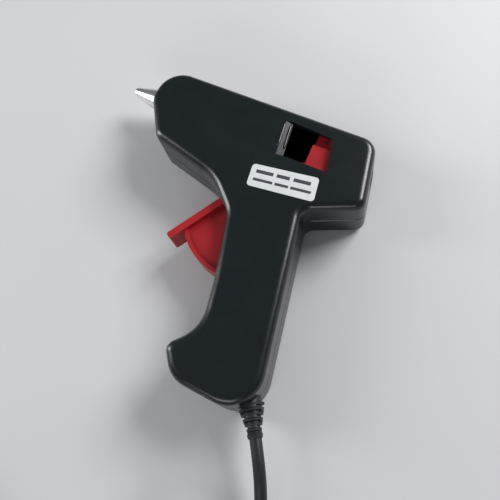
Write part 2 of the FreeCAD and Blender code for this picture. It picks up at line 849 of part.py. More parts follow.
def feed_carriage():
    """The sliding block that carries the gripper, with a red cheek that shows in the window."""
    body = new_body("feed_carriage", "carriage_x", "0", "split")
    half = "carriage_wide / 2"
    pad(body, [rectangle("0", "carriage_len", "carriage_low", "carriage_top")], f"-{half}", half)
    cheek = [
        ("0.7", "carriage_low - 3.8", "0.6"),
        ("carriage_len + 0.6", "carriage_low - 3.8", "0.6"),
        ("carriage_len - 2.6", "1.2", "0.6"),
        ("-0.2", "1.2", "0.6"),
    ]
    outer = "thick - wall - split - cheek_gap"
    pad(body, [cheek], "wall + cheek_gap - split", outer)
    lip = [
        ("0.7", "carriage_low - 3.8"),
        ("carriage_len + 0.6", "carriage_low - 3.8"),
        ("carriage_len", "carriage_low - 1.9"),
        ("0.6", "carriage_low - 1.9"),
    ]
    pad(body, [lip], outer, f"{outer} + 0.6")
    ear = [
        ("pin_back - 3.2", "pin_level - 2.8", "2"),
        ("4.5", "pin_level - 2.8", "1"),
        ("carriage_len", "carriage_low - 3"),
        ("carriage_len", "carriage_low"),
        ("0", "carriage_low"),
        ("pin_back - 3.2", "pin_level + 2.8", "1.5"),
    ]
    pad(body, [ear], "-ear_out", "ear_out")
    gap = [
        ("pin_back - 5", "pin_level - 5"),
        ("6", "pin_level - 5"),
        ("6", "carriage_low - 2.2"),
        ("-0.1", "carriage_low - 2.2"),
        ("-0.1", "pin_level + 9"),
        ("pin_back - 5", "pin_level + 9"),
    ]
    cut(body, [gap], "-arm_thick / 2 - 0.4", "arm_thick / 2 + 0.4")
    cut(body, [("pin_back", "pin_level", "drive_pin_r")], "-12", "12")
    cut(body, [("0", "0", "stick_r + 0.4")], "-1", "carriage_len + 1", "YZ_Plane")
    room = rectangle(
        "gripper_x - carriage_x - 0.7",
        "gripper_x - carriage_x + gripper_thick + 2.4",
        "carriage_low - 1",
        "carriage_top + 1",
    )
    cut(body, [room], "-gripper_wide / 2 - 0.4", "gripper_wide / 2 + 0.4")
    pin = ("gripper_x - carriage_x + gripper_thick / 2", "gripper_pin_y", "gripper_pin_r")
    cut(body, [pin], f"-{half} - 1", f"{half} + 1")


def gripper():
    """The steel plate that tilts and bites the stick."""
    body = new_body("gripper", "gripper_x", "0", "split")
    half = "gripper_wide / 2"
    plate = [
        ("-5.6", f"-{half}", "2"),
        ("gripper_pin_y + 1.3", f"-{half}", "1"),
        ("gripper_pin_y + 1.3", half, "1"),
        ("-5.6", half, "2"),
    ]
    pad(body, [plate, ("0", "0", "stick_r + 0.5")], "0", "gripper_thick", "YZ_Plane")
    pad(body, [("gripper_thick / 2", "gripper_pin_y", "gripper_pin_r + 0.4")], "-4.4", "4.4")
    hole = ("gripper_thick / 2", "gripper_pin_y", "gripper_pin_r + running_gap")
    cut(body, [hole], f"-{half} - 1", f"{half} + 1")


feed_carriage()
gripper()
grip_x = "gripper_x + gripper_thick / 2"
side_low = "split - carriage_wide / 2"
side_high = "split + carriage_wide / 2"
cylinder("gripper_pin", grip_x, "gripper_pin_y", side_low, side_high, "gripper_pin_r")
cylinder(
    "drive_pin", "carriage_x + pin_back", "pin_level", "split - ear_out", "split + ear_out", "drive_pin_r"
)

# ---------------------------------------------------------------- screws and label


def screw_group(name, places, seat, shank_r, long, head_r, head_thick, up):
    """Identical pan-head screws. up is 1 if they point up from their seats, -1 if down."""
    screws = []
    for x, y in places:
        spot = Vector(size(x), size(y), size(seat))
        along = Vector(0, 0, up)
        head = Part.makeCylinder(size(head_r), size(head_thick), spot - along * size(head_thick), along)
        edges = [e for e in head.Edges if abs(e.CenterOfMass.z - (spot - along * size(head_thick)).z) < 1e-6]
        head = head.makeFillet(size(head_thick) * 0.4, edges[:1])
        drive = Part.makeBox(size(head_r) * 1.1, 0.8, 1.2)
        drive.translate(Vector(-size(head_r) * 0.55, -0.4, -0.6))
        cross = drive.fuse(drive.rotated(Vector(0, 0, 0), Vector(0, 0, 1), 90))
        cross.translate(spot - along * size(head_thick))
        shank = Part.makeCylinder(size(shank_r), size(long), spot, along)
        screws.append(head.cut(cross).fuse(shank).removeSplitter())
    made(name, Part.makeCompound(screws))


screw_group(
    "body_screws", SCREWS, "screw_seat",
    "screw_r", "screw_len", "screw_head_r", "screw_head_thick", 1,
)
posts = [along_cord("clamp_spot", across) for across in ("-clamp_half", "clamp_half")]
screw_group(
    "clamp_screws", posts, "split + cord_r + clamp_thick",
    "clamp_screw_r", "clamp_screw_len", "clamp_head_r", "clamp_head_thick", -1,
)


def rating_label():
    """A rounded sticker on the left side, tilted a little to the barrel."""
    body = new_body("rating_label", "0", "0", "thick")
    corners = [
        ("82.2", "-30", "1.6"),
        ("112.6", "-25.8", "1.6"),
        ("110.2", "-14.6", "1.6"),
        ("80.2", "-19.4", "1.6"),
    ]
    pad(body, [corners], "0", "0.12")


rating_label()

# ---------------------------------------------------------------- cord end inside the grip

ALONG = Vector(math.cos(math.radians(size("exit_turn"))), math.sin(math.radians(size("exit_turn"))), 0)
EXIT = Vector(size("exit_x"), size("exit_rise - grip_drop"), size("split"))
TURN = Rotation(Vector(0, 0, 1), size("exit_turn"))


def strain_relief():
    """The tapered rubber boot round the cord, held in the shells by its groove."""
    body = new_body("strain_relief", "exit_x", "exit_rise - grip_drop", "split", TURN)
    profile = [
        ("-relief_in", "cord_r"),
        ("-relief_in", "relief_root_r + 0.6"),
        ("1.8 - relief_in", "relief_root_r + 0.6"),
        ("1.8 - relief_in", "relief_root_r"),
        ("0.8", "relief_root_r"),
    ]
    ribs = 4
    for i in range(ribs):
        start = f"1.6 + {i} * (relief_out - 3) / {ribs}"
        radius = f"relief_root_r + {i + 0.5} * (relief_tip_r - relief_root_r) / {ribs}"
        profile.append((start, radius))
        profile.append((f"{start} + 1.5", radius))
        profile.append((f"{start} + 1.5", "relief_tip_r"))
        profile.append((f"{start} + (relief_out - 3) / {ribs}", "relief_tip_r"))
    profile.append(("relief_out", "relief_tip_r"))
    profile.append(("relief_out", "cord_r"))
    turned(body, profile)


def cord_clamp():
    """The bar over the cord, with a hole for each of its two screws."""
    body = new_body("cord_clamp", "exit_x", "exit_rise - grip_drop", "split + cord_r", TURN)
    holes = [("clamp_spot", across, "clamp_screw_r + 0.05") for across in ("-clamp_half", "clamp_half")]
    bar = rectangle("clamp_spot - 2.5", "clamp_spot + 2.5", "-clamp_half - 1.7", "clamp_half + 1.7")
    pad(body, [bar, *holes], "0", "clamp_thick")


def wires():
    """The cord's end in the grip, its two cores, their crimps and the heater's leads."""
    start = EXIT - ALONG * size("cord_tail")
    length = size("relief_out + cord_tail")
    made("cord_inner_end", Part.makeCylinder(size("cord_r"), length, start, ALONG))
    level = size("crimp_level")
    near = size("crimp_rise - grip_drop")
    core_r = size("core_r")
    cores = []
    for side, x in ((1, 107.5), (-1, 104.5)):
        end = start + Vector(0, 0, 1.1 * side)
        turn_in = Vector(x + 0.9, near - 7, 6.9 + 0.2 * side)
        rise = Vector(109.9 + 0.5 * side, near - 9.5, 11.2 + 0.8 * side)
        straight = [Vector(x, near, level), Vector(x, near - 3, level)]
        cores.append(straight + [turn_in, rise, end - ALONG * 3.4, end])
    made("cord_cores", Part.makeCompound([tube(points, core_r, 1.2) for points in cores]))
    crimps = [Part.makeCylinder(1.5, 8, Vector(x, near, level), Vector(0, 1, 0)) for x in (104.5, 107.5)]
    made("crimp_sleeves", Part.makeCompound(crimps))
    tab_x = size(f"{HOT_X} + heater_start + heater_len + 1.45")
    upper_tab = size("-chamber_r - 1.7 - film_thick - electrode_thick / 2")
    lower_tab = upper_tab - size("pill_thick + electrode_thick")
    leads = {
        "lead_wire_upper": [
            Vector(tab_x, upper_tab, 11.5),
            Vector(57, -9.6, 10),
            Vector(63, -14.5, 6.6),
            Vector(72, -22.5, 4.6),
            Vector(84, -28.5, 4.3),
            Vector(95.5, -32.8, 4.4),
            Vector(103, near * 0.537, 4.3),
            Vector(106.2, near * 0.713, 4.6),
            Vector(107.5, near + 14, level),
            Vector(107.5, near + 8, level),
        ],
        "lead_wire_lower": [
            Vector(tab_x, lower_tab, 15.5),
            Vector(56.5, -12.4, 13.2),
            Vector(62, -18, 8.2),
            Vector(70.5, -25.5, 4.6),
            Vector(83, -31.6, 4.3),
            Vector(93.5, -35.6, 4.4),
            Vector(100.5, near * 0.561, 4.3),
            Vector(103.3, near * 0.726, 4.6),
            Vector(104.5, near + 14, level),
            Vector(104.5, near + 8, level),
        ],
    }
    for name, points in leads.items():
        made(name, tube(points, core_r, 2))


strain_relief()
cord_clamp()
wires()

# ---------------------------------------------------------------- free cord, coil and plug



def from_exit(x, y, z):
    """A point at x, y from where the cord leaves the shells, and z above the ground."""
    return Vector(EXIT.x + x, EXIT.y + y, z)


COIL = from_exit(3.4, -83.9, 0)
CORD_START = EXIT + ALONG * size("relief_out")
TO_COIL = [
    CORD_START,
    CORD_START + ALONG * 10.5,
    from_exit(20.4, -30.9, 9.6),
    from_exit(26.4, -45.4, 4.6),
    from_exit(32.6, -59.9, 3.1),
    from_exit(36.4, -73.9, 2.95),
    from_exit(36.9, -83.9, 2.95),
]
TO_PLUG = [
    from_exit(3.4, -117.4, 8.1),
    from_exit(-5.1, -117.2, 6.6),
    from_exit(-14.1, -116.7, 3.8),
    from_exit(-23.1, -116.3, 3),
    from_exit(-32.1, -116.4, 4),
    from_exit(-40.1, -116.7, 5.9),
    from_exit(-47.1, -116.9, 6.9),
    from_exit(-54.6, -116.9, 6.9),
]


def coil_ring():
    """The outer shape of the coil, two layers of turns deep."""
    low, high, inner, outer = 0.4, 10.7, 18.4, 36.0
    ring = Part.makeCylinder(outer, high - low, COIL + Vector(0, 0, low))
    ring = ring.cut(Part.makeCylinder(inner, high, COIL))
    return ring.makeFillet(2.2, [e for e in ring.Edges if e.Curve.TypeId == "Part::GeomCircle"])


def free_cord():
    """The cord's loose stretches: from the boot into the coil, and out of the coil to the plug."""
    cord_r = size("cord_r")
    stretches = [tube(points, cord_r, 10 * cord_r) for points in (TO_COIL, TO_PLUG)]
    made("power_cord", Part.makeCompound(stretches))


def coil_tie(ring):
    """The wire tie that holds the coil's turns together."""
    band = Part.makeBox(18.4, 3, 11.1, Vector(18, -1.5, 0))
    band.rotate(Vector(0, 0, 0), Vector(0, 0, 1), 140)
    band.translate(COIL)
    made("coil_tie", band.cut(ring))


def plug():
    """A flat two-pin mains plug, lying beside the coil."""
    at = TO_PLUG[-1]
    body = new_body("plug_body", str(at.x), str(at.y), str(at.z), Rotation(Vector(0, 0, 1), 180))
    turned(body, [("0", "0"), ("0", "3.4"), ("12", "5"), ("14", "5"), ("14", "0")])
    grip = [
        ("12", "-6", "2"),
        ("22", "-plug_wide / 2", "6"),
        ("plug_len", "-plug_wide / 2", "2"),
        ("plug_len", "plug_wide / 2", "2"),
        ("22", "plug_wide / 2", "6"),
        ("12", "6", "2"),
    ]
    cap = pad(body, [grip], "-plug_thick / 2", "plug_thick / 2")
    half = size("plug_thick / 2")
    rims = edges_where(cap, lambda p: abs(abs(p.z) - half) < 1e-5)
    round_edges(body, cap, rims, "plug_round")
    pins = []
    for side in (-1, 1):
        start = at + Vector(-size("plug_len"), side * size("pin_pitch") / 2, 0)
        pin = Part.makeCylinder(size("plug_pin_r"), size("plug_pin_len"), start, Vector(-1, 0, 0))
        ends = [e for e in pin.Edges if abs(e.CenterOfMass.x - (start.x - size("plug_pin_len"))) < 1e-6]
        pins.append(pin.makeFillet(size("plug_pin_r") * 0.45, ends[:1]))
    made("plug_pins", Part.makeCompound(pins))


coil = coil_ring()
free_cord()
made("cord_coil", coil)
coil_tie(coil)
plug()

# ---------------------------------------------------------------- check, then write

doc.recompute()
HELPERS = ("heater_wrap_outside", "heater_wrap_inside")
KINDS = ("PartDesign::Body", "Part::Cylinder", "Part::Cut", "Part::Feature", "Part::Box")
pieces = [item for item in doc.Objects if item.TypeId in KINDS and item.Label not in HELPERS]
for item in doc.Objects:
    if "Invalid" in item.State or "Error" in item.State:
        raise RuntimeError(f"{item.Name} of {item.Label} is {item.State}")
for piece in pieces:
    shape = piece.Shape
    if shape.isNull() or not shape.isValid() or not shape.Solids:
        raise RuntimeError(f"{piece.Label} is not a valid solid")
for piece in pieces:
    piece.Shape.exportStep(f"parts/{piece.Label}.step")
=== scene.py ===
import bpy
import bmesh
import math
from mathutils import Matrix, Vector


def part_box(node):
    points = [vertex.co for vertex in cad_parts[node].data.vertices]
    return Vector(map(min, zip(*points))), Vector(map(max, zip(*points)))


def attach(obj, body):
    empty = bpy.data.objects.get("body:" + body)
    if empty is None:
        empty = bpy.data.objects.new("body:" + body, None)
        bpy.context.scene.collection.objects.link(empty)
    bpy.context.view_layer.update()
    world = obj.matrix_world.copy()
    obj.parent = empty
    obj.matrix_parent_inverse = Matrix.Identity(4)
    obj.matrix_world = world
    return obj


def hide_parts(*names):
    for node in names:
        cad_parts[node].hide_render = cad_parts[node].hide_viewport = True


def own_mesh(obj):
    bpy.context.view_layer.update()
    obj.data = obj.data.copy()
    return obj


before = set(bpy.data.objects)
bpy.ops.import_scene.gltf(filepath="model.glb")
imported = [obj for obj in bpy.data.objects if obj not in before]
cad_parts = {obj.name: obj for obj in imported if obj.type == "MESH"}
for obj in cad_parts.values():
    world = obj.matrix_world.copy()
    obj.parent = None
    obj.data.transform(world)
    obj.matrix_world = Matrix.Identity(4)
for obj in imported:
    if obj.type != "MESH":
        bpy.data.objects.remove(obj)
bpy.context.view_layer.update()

# Sizes are in metres unless a note says otherwise. The gun lies on its right side: +X runs back
# along the stick axis, +Y from the grip to the barrel's top edge, and +Z up, out of the left side.
originShift = Vector((-0.06771, 0.05545, 0))


# takes millimetres from the nozzle's tip and the stick axis
def gunPoint(x, y, z):
    return originShift + Vector((x, y, z)) / 1000


view = {
    "lens": 40.8,  # millimetres, as is the sensor
    "sensor": 36,
    "nearest": 0.01,
    "right": (0.87328, 0.46341, -0.15045),
    "back": (0.29324, -0.25331, 0.92187),
    "spot": (167.184, -115.905, 244.155),  # gun millimetres
}


def makeCamera():
    data = bpy.data.cameras.new("camera")
    data.lens = view["lens"]
    data.sensor_width = view["sensor"]
    data.clip_start = view["nearest"]
    camera = bpy.data.objects.new("camera", data)
    bpy.context.scene.collection.objects.link(camera)
    back = Vector(view["back"]).normalized()
    up = back.cross(Vector(view["right"]).normalized()).normalized()
    right = up.cross(back)
    turn = Matrix((right, up, back)).transposed().to_4x4()
    camera.matrix_world = Matrix.Translation(gunPoint(*view["spot"])) @ turn
    bpy.context.scene.camera = camera


makeCamera()
print("camera")


def newObject(name, data):
    piece = bpy.data.objects.new(name, data)
    bpy.context.scene.collection.objects.link(piece)
    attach(piece, "housing")
    return piece


def meshFrom(name, points, faces, smooth=True):
    mesh = bpy.data.meshes.new(name)
    mesh.from_pydata([tuple(p) for p in points], [], faces)
    shape = bmesh.new()
    shape.from_mesh(mesh)
    bmesh.ops.recalc_face_normals(shape, faces=shape.faces)
    shape.to_mesh(mesh)
    shape.free()
    for face in mesh.polygons:
        face.use_smooth = smooth
    return mesh


# quads between rows of points that run round a tube
def gridFaces(rows, around):
    faces = []
    for row in range(rows - 1):
        here, above = row * around, (row + 1) * around
        for i in range(around):
            j = (i + 1) % around
            faces.append((here + i, here + j, above + j, above + i))
    return faces


# a closed round bar along the path, with a radius at each of its points
def sweep(name, path, radii, across, around=14):
    points = []
    for i, spot in enumerate(path):
        along = (path[min(i + 1, len(path) - 1)] - path[max(i - 1, 0)]).normalized()
        side = along.cross(across).normalized()
        top = side.cross(along)
        for j in range(around):
            angle = 2 * math.pi * j / around
            reach = side * math.cos(angle) + top * math.sin(angle)
            points.append(spot + reach * radii[i])
    faces = gridFaces(len(path), around)
    faces.append(tuple(reversed(range(around))))
    faces.append(tuple(range((len(path) - 1) * around, len(path) * around)))
    return meshFrom(name, points, faces)


def newMaterial(name):
    material = bpy.data.materials.new(name)
    material.use_nodes = True
    nodes = material.node_tree.nodes
    nodes.clear()
    output = nodes.new("ShaderNodeOutputMaterial")
    shader = nodes.new("ShaderNodeBsdfPrincipled")
    material.node_tree.links.new(shader.outputs["BSDF"], output.inputs["Surface"])
    return material, shader


# settings name the node's own properties, or its inputs with _ for a space
def addNode(material, kind, **settings):
    node = material.node_tree.nodes.new(kind)
    for name, value in settings.items():
        if hasattr(node, name):
            setattr(node, name, value)
        else:
            node.inputs[name.replace("_", " ")].default_value = value
    return node


def join(material, start, end):
    material.node_tree.links.new(start, end)


def objectPlace(material):
    return addNode(material, "ShaderNodeTexCoord").outputs["Object"]


def noise(material, scale, detail=3.0, rough=0.5):
    node = addNode(material, "ShaderNodeTexNoise", Scale=scale, Detail=detail, Roughness=rough)
    join(material, objectPlace(material), node.inputs["Vector"])
    return node.outputs["Fac"]


# a colour ramp between two (place, colour) stops
def ramp(material, factor, first, last):
    node = addNode(material, "ShaderNodeValToRGB")
    for element, (place, colour) in zip(node.color_ramp.elements, (first, last)):
        element.position = place
        element.color = (*colour, 1)
    join(material, factor, node.inputs["Fac"])
    return node.outputs["Color"]


def bump(material, shader, height, strength, distance):
    node = addNode(material, "ShaderNodeBump", Strength=strength, Distance=distance)
    join(material, height, node.inputs["Height"])
    join(material, node.outputs["Normal"], shader.inputs["Normal"])


# maps a factor from 0 to 1 onto low to high
def spread(material, factor, low, high):
    node = addNode(material, "ShaderNodeMapRange", To_Min=low, To_Max=high)
    join(material, factor, node.inputs["Value"])
    return node.outputs["Result"]


# slight mottle in colour and gloss over a fine skin texture
def mouldedPlastic(name, dark, light, rough, grain=0.06, coat=0.0):
    material, shader = newMaterial(name)
    colour = ramp(material, noise(material, 38, 4, 0.6), (0.3, dark), (0.7, light))
    join(material, colour, shader.inputs["Base Color"])
    gloss = spread(material, noise(material, 120, 5, 0.6), *rough)
    join(material, gloss, shader.inputs["Roughness"])
    bump(material, shader, noise(material, 900, 2, 0.5), grain, 0.0002)
    shader.inputs["Specular IOR Level"].default_value = 0.5
    shader.inputs["Coat Weight"].default_value = coat
    shader.inputs["Coat Roughness"].default_value = 0.12
    return material


# metal with the lathe's fine rings round an axis
def turnedMetal(name, colour, rough, rings, strength=0.12, axis="X"):
    material, shader = newMaterial(name)
    shader.inputs["Metallic"].default_value = 1
    marks = addNode(
        material, "ShaderNodeTexWave", wave_type="BANDS", bands_direction=axis,
        Scale=rings, Distortion=0.6, Detail=2,
    )
    join(material, objectPlace(material), marks.inputs["Vector"])
    bright = tuple(min(1, c * 1.12) for c in colour)
    mottle = ramp(material, noise(material, 160, 4), (0.3, colour), (0.7, bright))
    join(material, mottle, shader.inputs["Base Color"])
    gloss = spread(material, noise(material, 90, 3), rough * 0.75, rough * 1.3)
    join(material, gloss, shader.inputs["Roughness"])
    bump(material, shader, marks.outputs["Fac"], strength, 0.0001)
    return material


def castMetal(name, colour):
    material, shader = newMaterial(name)
    shader.inputs["Metallic"].default_value = 0.9
    darker = tuple(c * 0.8 for c in colour)
    mottle = ramp(material, noise(material, 220, 6), (0.35, darker), (0.65, colour))
    join(material, mottle, shader.inputs["Base Color"])
    shader.inputs["Roughness"].default_value = 0.5
    bump(material, shader, noise(material, 1400, 4), 0.3, 0.0003)
    return material


# soft rubber or sheath: matt, with a fine dusty mottle
def rubber(name, dark, light, rough, grain=0.12):
    material, shader = newMaterial(name)
    dust = ramp(material, noise(material, 70, 5, 0.65), (0.3, dark), (0.75, light))
    join(material, dust, shader.inputs["Base Color"])
    gloss = spread(material, noise(material, 260, 3), rough * 0.88, rough * 1.1)
    join(material, gloss, shader.inputs["Roughness"])
    bump(material, shader, noise(material, 1600, 3), grain, 0.0002)
    return material


# the woven glass sleeve of a heater lead
def braid(name, colour):
    material, shader = newMaterial(name)
    weave = addNode(material, "ShaderNodeTexVoronoi", Scale=1500)
    join(material, objectPlace(material), weave.inputs["Vector"])
    shade = tuple(c * 0.75 for c in colour)
    threads = ramp(material, weave.outputs["Distance"], (0.1, colour), (0.8, shade))
    join(material, threads, shader.inputs["Base Color"])
    shader.inputs["Roughness"].default_value = 0.75
    bump(material, shader, weave.outputs["Distance"], 0.4, 0.0003)
    return material


label = {
    "lean": math.atan2(4.4, 30.3),
    "paper": ((0.60, 0.62, 0.63), (0.68, 0.70, 0.71)),
    "ink": (0.06, 0.06, 0.07),
    # each row of bars: its middle, its half height, and each bar's start and end
    "rows": (
        (0.0020, 0.00085, (-0.0130, -0.0050, -0.0035, 0.0025, 0.0042, 0.0120)),
        (-0.0020, 0.00065, (-0.0132, -0.0042, -0.0032, 0.0030, 0.0040, 0.0132)),
    ),
}


# 1 where the coordinate is within half of the middle
def band(material, source, middle, half):
    away = addNode(material, "ShaderNodeMath", operation="SUBTRACT")
    join(material, source, away.inputs[0])
    away.inputs[1].default_value = middle
    size = addNode(material, "ShaderNodeMath", operation="ABSOLUTE")
    join(material, away.outputs[0], size.inputs[0])
    inside = addNode(material, "ShaderNodeMath", operation="LESS_THAN")
    join(material, size.outputs[0], inside.inputs[0])
    inside.inputs[1].default_value = half
    return inside.outputs[0]


def combine(material, operation, first, second):
    node = addNode(material, "ShaderNodeMath", operation=operation)
    join(material, first, node.inputs[0])
    join(material, second, node.inputs[1])
    return node.outputs[0]


# 1 on every bar of the label
def labelBars(material, along, across):
    total = None
    for middle, half, edges in label["rows"]:
        for start, end in zip(edges[::2], edges[1::2]):
            length = band(material, along, (start + end) / 2, (end - start) / 2)
            bar = combine(material, "MULTIPLY", length, band(material, across, middle, half))
            if total is None:
                total = bar
            else:
                total = combine(material, "MAXIMUM", total, bar)
    return total


# off-white film with two rows of plain dark bars in place of print
def printedLabel(name):
    material, shader = newMaterial(name)
    low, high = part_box("rating_label")
    turn = addNode(material, "ShaderNodeMapping", vector_type="TEXTURE")
    turn.inputs["Location"].default_value = (low + high) / 2
    turn.inputs["Rotation"].default_value = (0, 0, label["lean"])
    join(material, objectPlace(material), turn.inputs["Vector"])
    parts = addNode(material, "ShaderNodeSeparateXYZ")
    join(material, turn.outputs["Vector"], parts.inputs[0])
    dark, light = label["paper"]
    paper = ramp(material, noise(material, 200, 4), (0.3, dark), (0.7, light))
    mix = addNode(material, "ShaderNodeMix", data_type="RGBA")
    ink = labelBars(material, parts.outputs["X"], parts.outputs["Y"])
    join(material, ink, mix.inputs["Factor"])
    join(material, paper, mix.inputs["A"])
    mix.inputs["B"].default_value = (*label["ink"], 1)
    join(material, mix.outputs["Result"], shader.inputs["Base Color"])
    shader.inputs["Roughness"].default_value = 0.35
    return material


looks = {
    "shell": mouldedPlastic(
        "shell_black", (0.0035, 0.0060, 0.0068), (0.0060, 0.0098, 0.0108), (0.24, 0.36), 0.05, 0.1
    ),
    "red": mouldedPlastic(
        "moulded_red", (0.32, 0.008, 0.013), (0.40, 0.012, 0.018), (0.34, 0.46), 0.05, 0.05
    ),
    "nozzle": turnedMetal("bright_aluminium", (0.80, 0.81, 0.82), 0.24, 900),
    "cast": castMetal("cast_alloy", (0.60, 0.61, 0.62)),
    "steel": turnedMetal("drawn_steel", (0.62, 0.63, 0.64), 0.3, 1400),
    "zinc": turnedMetal("zinc_steel", (0.42, 0.42, 0.44), 0.38, 1100, 0.15, "Z"),
    "plate": turnedMetal("nickel_plate", (0.76, 0.76, 0.77), 0.18, 700),
    "brass": turnedMetal("rolled_brass", (0.80, 0.60, 0.28), 0.32, 1200),
    "silicone": rubber("red_brown_silicone", (0.42, 0.07, 0.03), (0.55, 0.11, 0.05), 0.6),
    "boot": rubber("black_rubber", (0.010, 0.010, 0.011), (0.020, 0.020, 0.021), 0.48),
    "cord": rubber("cord_sheath", (0.010, 0.010, 0.011), (0.022, 0.022, 0.023), 0.42, 0.08),
    "plug": mouldedPlastic(
        "plug_black", (0.012, 0.012, 0.013), (0.020, 0.020, 0.021), (0.45, 0.6), 0.12
    ),
    "clamp": mouldedPlastic(
        "inner_black", (0.020, 0.020, 0.022), (0.035, 0.035, 0.037), (0.5, 0.62), 0.1
    ),
    "core": mouldedPlastic("blue_core", (0.03, 0.09, 0.34), (0.05, 0.13, 0.42), (0.4, 0.55)),
    "crimp": mouldedPlastic("pale_cap", (0.62, 0.60, 0.52), (0.72, 0.70, 0.62), (0.4, 0.5)),
    "film": mouldedPlastic("amber_film", (0.55, 0.28, 0.06), (0.66, 0.36, 0.10), (0.2, 0.3)),
    "ceramic": mouldedPlastic(
        "white_ceramic", (0.70, 0.69, 0.64), (0.80, 0.79, 0.74), (0.55, 0.7), 0.2
    ),
    "lead": braid("lead_sleeve", (0.74, 0.73, 0.68)),
    "label": printedLabel("printed_label"),
}

lookNodes = {
    "shell": ("left_shell", "right_shell"),
    "red": ("trigger", "feed_carriage"),
    "nozzle": ("nozzle",),
    "cast": ("melt_chamber",),
    "steel": (
        "heater_clip", "trigger_pivot_pin", "return_spring", "gripper", "gripper_pin", "drive_pin",
    ),
    "zinc": ("body_screws", "clamp_screws"),
    "plate": ("plug_pins",),
    "brass": ("electrode_upper", "electrode_lower"),
    "silicone": ("inlet_sleeve",),
    "boot": ("strain_relief",),
    "cord": ("cord_inner_end", "power_cord", "cord_coil"),
    "plug": ("coil_tie", "plug_body"),
    "clamp": ("cord_clamp",),
    "core": ("cord_cores",),
    "crimp": ("crimp_sleeves",),
    "film": ("insulation_film",),
    "ceramic": ("heater_pill",),
    "lead": ("lead_wire_upper", "lead_wire_lower"),
    "label": ("rating_label",),
}
for look, names in lookNodes.items():
    for name in names:
        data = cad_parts[name].data
        data.materials.clear()
        data.materials.append(looks[look])
print("materials")

boot = {
    "start": (124.6, -110.1, 13.5),  # gun millimetres
    "turn": -54,  # degrees from +X
    "length": 0.014,
    "bore": 0.0025,
    "flange": (-0.0078, -0.0060, 0.0052),  # start, end and radius, inside the shell
    "neck": 0.0046,
    "face": 0.0006,  # where the ribs begin, outside the shell
    "root": 0.0054,
    "tip": 0.0030,
    "ribs": 6,
    "ribProfile": ((0.04, 0), (0.10, 0.00015), (0.50, 0.00005), (0.56, -0.0001)),
    "groovePlaces": (0.60, 0.96),  # as the profile's places, in shares of one rib's step
    "groove": 0.0011,
    "bridgeDeep": 0.92,  # share of the groove that a bridge fills
    "bridgeFrom": 0.80,
    "collar": ((0.0014, 0.0032), (0.0003, 0.0030), (0, 0.0028), (0, 0.00252), (0.004, 0.0025)),
    "least": 0.00255,
    "around": 48,
}
exitTurn = math.radians(boot["turn"])
exitWay = Vector((math.cos(exitTurn), math.sin(exitTurn), 0))
bootRoot = gunPoint(*boot["start"])
cordExit = bootRoot + exitWay * boot["length"]

cord = {
    "radius": 0.0025,
    "straight": 0.0105,  # how far it leaves the boot in line
    "cornerShare": 0.985,  # the curve's length over its control points' length
    # the rest is in gun millimetres
    "toCoil": (
        (145, -141, 9.6), (151, -155.5, 4.6), (157.2, -170, 3.1), (161, -184, 2.95),
    ),
    "toPlug": (
        (119.5, -227.3, 6.6), (110.5, -226.8, 3.8), (101.5, -226.4, 3), (92.5, -226.5, 4),
        (84.5, -226.8, 5.9), (77.5, -227, 6.9), (70, -227, 6.9),
    ),
    "coilMiddle": (128, -194),
    "layers": (2.95, 8.1),
    "outer": 33.5,
    "inner": 20.9,
    "turns": 2.5,
    "perTurn": 16,
}


# clockwise turns: inwards below, up at the inside, then outwards on top
def coilPoints():
    x, y = cord["coilMiddle"]
    low, high = cord["layers"]
    outer, inner = cord["outer"], cord["inner"]
    turns, perTurn = cord["turns"], cord["perTurn"]
    count = int(turns * perTurn)
    rise = perTurn // 4
    lifted = turns + rise / perTurn
    stations = []
    for i in range(count + 1):
        stations.append((i / perTurn, outer + (inner - outer) * i / count, low))
    for i in range(1, rise):
        stations.append((turns + i / perTurn, inner, low + (high - low) * i / rise))
    for i in range(count + 1):
        stations.append((lifted + i / perTurn, inner + (outer - inner) * i / count, high))
    points = []
    for turn, radius, level in stations:
        angle = -2 * math.pi * turn
        points.append(gunPoint(x + radius * math.cos(angle), y + radius * math.sin(angle), level))
    return points


def makeCord():
    points = [cordExit, cordExit + exitWay * cord["straight"]]
    points += [gunPoint(*place) for place in cord["toCoil"]]
    points += coilPoints()
    points += [gunPoint(*place) for place in cord["toPlug"]]
    curve = bpy.data.curves.new("power_cord_curve", "CURVE")
    curve.dimensions = "3D"
    curve.bevel_depth = 1  # each point's radius is then the cord's own
    curve.bevel_resolution = 6
    curve.resolution_u = 8
    curve.use_fill_caps = True
    spline = curve.splines.new("NURBS")
    spline.points.add(len(points) - 1)
    for point, place in zip(spline.points, points):
        point.co = (*place, 1)
        point.radius = cord["radius"]
    spline.order_u = 3
    spline.use_endpoint_u = True
    piece = newObject("flex_cord", curve)
    curve.materials.append(looks["cord"])
    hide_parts("power_cord", "cord_coil")


makeCord()
print("cord")


# the boot's rings from root to tip: place, radius, and which way a groove is bridged
def bootRings():
    flangeStart, flangeEnd, flange = boot["flange"]
    rings = [
        (flangeStart, boot["bore"], None),
        (flangeStart, flange, None),
        (flangeEnd, flange, None),
        (flangeEnd, boot["neck"], None),
        (boot["face"], boot["neck"], None),
    ]
    collarStart = boot["collar"][0][0]
    step = (boot["length"] - collarStart - 2 * boot["face"]) / boot["ribs"]
    for i in range(boot["ribs"]):
        here = boot["face"] + i * step
        outer = boot["root"] + (boot["tip"] - boot["root"]) * i / (boot["ribs"] - 1)
        for share, more in boot["ribProfile"]:
            rings.append((here + step * share, outer + more, None))
        for share in boot["groovePlaces"]:
            rings.append((here + step * share, outer - boot["groove"], i % 2))
    for back, radius in boot["collar"]:
        rings.append((boot["length"] - back, radius, None))
    return rings


